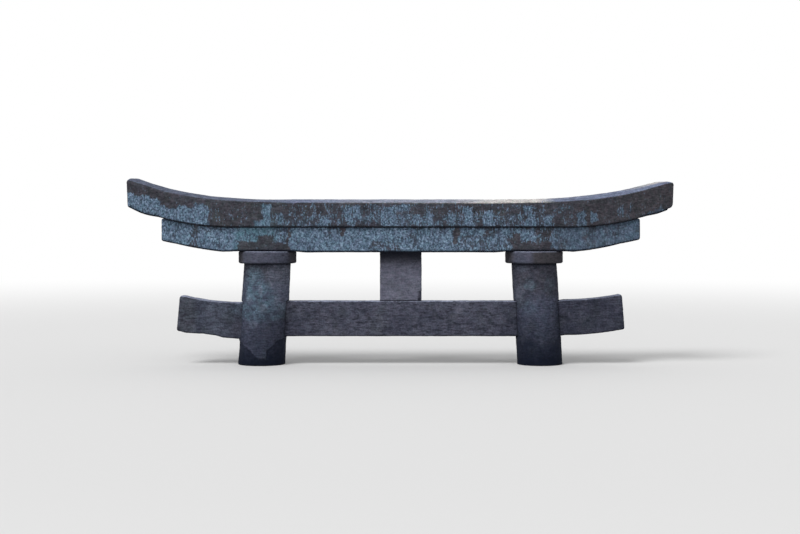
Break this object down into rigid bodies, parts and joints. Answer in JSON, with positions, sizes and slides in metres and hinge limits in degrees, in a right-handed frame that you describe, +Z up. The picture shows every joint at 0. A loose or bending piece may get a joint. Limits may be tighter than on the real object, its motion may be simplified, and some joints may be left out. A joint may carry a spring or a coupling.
{
  "type": "stone torii gate",
  "caption": "Stone torii gate from ground level up: leaning round pillars with ring caps carry a double lintel with upturned ends, tied by a through beam with a middle strut.",
  "frame": {"origin": "on the ground, midway between the pillars", "axes": "+X along the lintels, +Y from the front to the back, +Z up"},
  "size_m": [3.5628, 0.38, 1.2244],
  "materials": {
    "lintel_stone": "rough, weathered, with pale blue-green lichen",
    "beam_stone": "rough, pitted, bare",
    "pillar_stone": "rough, pitted, stained at the foot"
  },
  "bodies": {
    "root": {"kasagi_upper_lintel": "lintel_stone", "shimaki_lower_lintel": "lintel_stone", "nuki_tie_beam": "beam_stone", "gakuzuka_strut": "beam_stone", "left_cap_ring": "beam_stone", "right_cap_ring": "beam_stone", "left_pillar": "pillar_stone", "right_pillar": "pillar_stone"}
  },
  "joints": []
}
